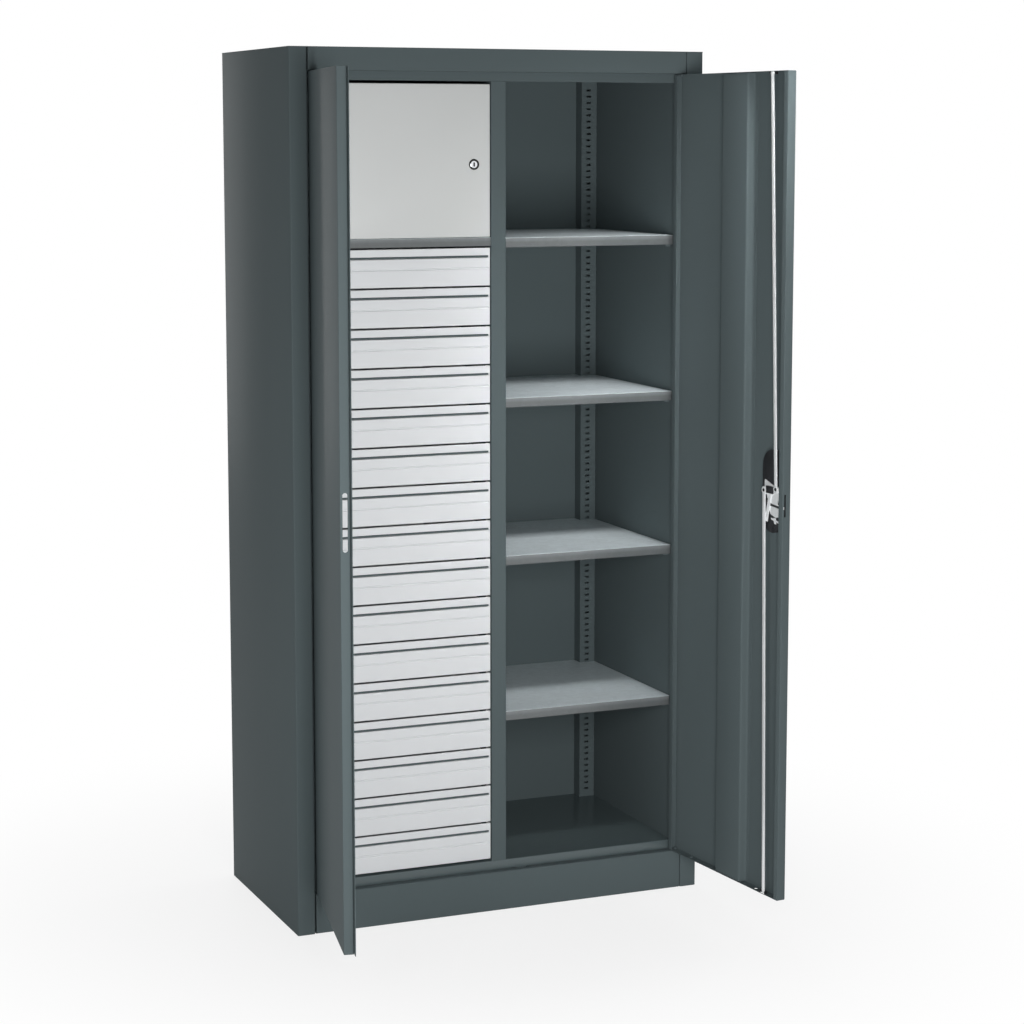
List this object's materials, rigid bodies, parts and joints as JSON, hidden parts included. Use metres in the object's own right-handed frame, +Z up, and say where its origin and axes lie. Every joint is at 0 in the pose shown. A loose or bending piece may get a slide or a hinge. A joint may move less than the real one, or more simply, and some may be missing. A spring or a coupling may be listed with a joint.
{
  "type": "swing door cabinet",
  "caption": "Tall steel tool cabinet with two swing doors, a column of drawers under a small locker, adjustable shelves, and a rod lock in one door.",
  "frame": {"origin": "centre of the carcass footprint on the floor, on the underside of the base cross rail", "axes": "+X to the right seen from the front, +Y into the cabinet, +Z up"},
  "size_m": [1.0225, 0.9446, 1.95],
  "materials": {
    "slate": "fine textured paint, dark slate grey",
    "white": "smooth white-grey paint",
    "light_grey": "smooth light grey paint",
    "galvanised": "galvanised sheet",
    "zinc": "bright zinc plate",
    "black_plastic": "black moulded plastic",
    "chrome": "polished chrome"
  },
  "bodies": {
    "carcass": {"side_panel_left": "slate", "side_panel_right": "slate", "back_panel": "slate", "roof_panel": "slate", "header_rail": "slate", "floor_panel": "slate", "plinth_front": "slate", "base_cross_rail": "galvanised", "partition": "slate", "lining_left": "slate", "lining_right": "slate", "rear_uprights": "slate", "shelf_1": "galvanised", "shelf_2": "galvanised", "shelf_3": "galvanised", "shelf_4": "galvanised", "shelf_clips": "zinc", "locker_shelf": "galvanised", "drawer_runners": "zinc", "levelling_feet": "black_plastic", "back_rivets": "zinc"},
    "left_door": {"left_door_pan": "slate", "left_door_stiffener": "slate", "left_door_stop_lip": "slate", "left_door_pivots": "zinc"},
    "right_door": {"right_door_pan": "slate", "right_door_stiffener": "slate", "right_door_pivots": "zinc", "handle_tub": "black_plastic", "lock_plate": "zinc", "rod_guides": "black_plastic"},
    "lock_handle": {"lock_grip": "black_plastic", "key_cylinder": "chrome", "lock_spindle": "zinc", "lock_cam": "zinc", "cam_pins": "zinc"},
    "upper_rod": {"upper_rod": "zinc"},
    "lower_rod": {"lower_rod": "zinc"},
    "locker_door": {"locker_door_pan": "light_grey", "locker_door_pivots": "zinc"},
    "locker_lock": {"locker_lock_barrel": "chrome", "locker_lock_cam": "zinc"},
    "drawer_01": {"drawer_01": "white"},
    "drawer_02": {"drawer_02": "white"},
    "drawer_03": {"drawer_03": "white"},
    "drawer_04": {"drawer_04": "white"},
    "drawer_05": {"drawer_05": "white"},
    "drawer_06": {"drawer_06": "white"},
    "drawer_07": {"drawer_07": "white"},
    "drawer_08": {"drawer_08": "white"},
    "drawer_09": {"drawer_09": "white"},
    "drawer_10": {"drawer_10": "white"},
    "drawer_11": {"drawer_11": "white"},
    "drawer_12": {"drawer_12": "white"},
    "drawer_13": {"drawer_13": "white"},
    "drawer_14": {"drawer_14": "white"},
    "drawer_15": {"drawer_15": "white"},
    "drawer_16": {"drawer_16": "white"}
  },
  "joints": [
    {"name": "left_door_hinge", "type": "hinge", "parent": "carcass", "child": "left_door", "pos_m": [-0.4425, -0.245, 0.995], "axis": [0, 0, -1], "range_deg": [-101, 9]},
    {"name": "right_door_hinge", "type": "hinge", "parent": "carcass", "child": "right_door", "pos_m": [0.4425, -0.245, 0.995], "axis": [0, 0, 1], "range_deg": [-95, 15]},
    {"name": "lock_turn", "type": "hinge", "parent": "right_door", "child": "lock_handle", "pos_m": [0.46911, -0.63868, 0.998], "axis": [0.9962, 0.0872, 0], "range_deg": [-90, 0]},
    {"name": "upper_rod_pin", "type": "hinge", "parent": "lock_handle", "child": "upper_rod", "pos_m": [0.46756, -0.66168, 1.0012], "axis": [0.9962, 0.0872, 0], "range_deg": [0, 91.85]},
    {"name": "lower_rod_pin", "type": "hinge", "parent": "lock_handle", "child": "lower_rod", "pos_m": [0.46359, -0.6163, 0.9948], "axis": [0.9962, 0.0872, 0], "range_deg": [0, 91.86]},
    {"name": "locker_door_hinge", "type": "hinge", "parent": "carcass", "child": "locker_door", "pos_m": [-0.415, -0.22, 1.706], "axis": [0, 0, -1], "range_deg": [0, 90]},
    {"name": "locker_lock_turn", "type": "hinge", "parent": "locker_door", "child": "locker_lock", "pos_m": [-0.059, -0.215, 1.698], "axis": [0, 1, 0], "range_deg": [-90, 0]},
    {"name": "drawer_01_slide", "type": "slide", "parent": "carcass", "child": "drawer_01", "axis": [0, -1, 0], "range_m": [0, 0.32]},
    {"name": "drawer_02_slide", "type": "slide", "parent": "carcass", "child": "drawer_02", "axis": [0, -1, 0], "range_m": [0, 0.32]},
    {"name": "drawer_03_slide", "type": "slide", "parent": "carcass", "child": "drawer_03", "axis": [0, -1, 0], "range_m": [0, 0.32]},
    {"name": "drawer_04_slide", "type": "slide", "parent": "carcass", "child": "drawer_04", "axis": [0, -1, 0], "range_m": [0, 0.32]},
    {"name": "drawer_05_slide", "type": "slide", "parent": "carcass", "child": "drawer_05", "axis": [0, -1, 0], "range_m": [0, 0.32]},
    {"name": "drawer_06_slide", "type": "slide", "parent": "carcass", "child": "drawer_06", "axis": [0, -1, 0], "range_m": [0, 0.32]},
    {"name": "drawer_07_slide", "type": "slide", "parent": "carcass", "child": "drawer_07", "axis": [0, -1, 0], "range_m": [0, 0.32]},
    {"name": "drawer_08_slide", "type": "slide", "parent": "carcass", "child": "drawer_08", "axis": [0, -1, 0], "range_m": [0, 0.32]},
    {"name": "drawer_09_slide", "type": "slide", "parent": "carcass", "child": "drawer_09", "axis": [0, -1, 0], "range_m": [0, 0.32]},
    {"name": "drawer_10_slide", "type": "slide", "parent": "carcass", "child": "drawer_10", "axis": [0, -1, 0], "range_m": [0, 0.32]},
    {"name": "drawer_11_slide", "type": "slide", "parent": "carcass", "child": "drawer_11", "axis": [0, -1, 0], "range_m": [0, 0.32]},
    {"name": "drawer_12_slide", "type": "slide", "parent": "carcass", "child": "drawer_12", "axis": [0, -1, 0], "range_m": [0, 0.32]},
    {"name": "drawer_13_slide", "type": "slide", "parent": "carcass", "child": "drawer_13", "axis": [0, -1, 0], "range_m": [0, 0.32]},
    {"name": "drawer_14_slide", "type": "slide", "parent": "carcass", "child": "drawer_14", "axis": [0, -1, 0], "range_m": [0, 0.32]},
    {"name": "drawer_15_slide", "type": "slide", "parent": "carcass", "child": "drawer_15", "axis": [0, -1, 0], "range_m": [0, 0.32]},
    {"name": "drawer_16_slide", "type": "slide", "parent": "carcass", "child": "drawer_16", "axis": [0, -1, 0], "range_m": [0, 0.32]}
  ],
  "couplings": [
    {"joint": "upper_rod_pin", "follows": "lock_turn", "ratio": -1.0184},
    {"joint": "lower_rod_pin", "follows": "lock_turn", "ratio": -1.0185}
  ]
}
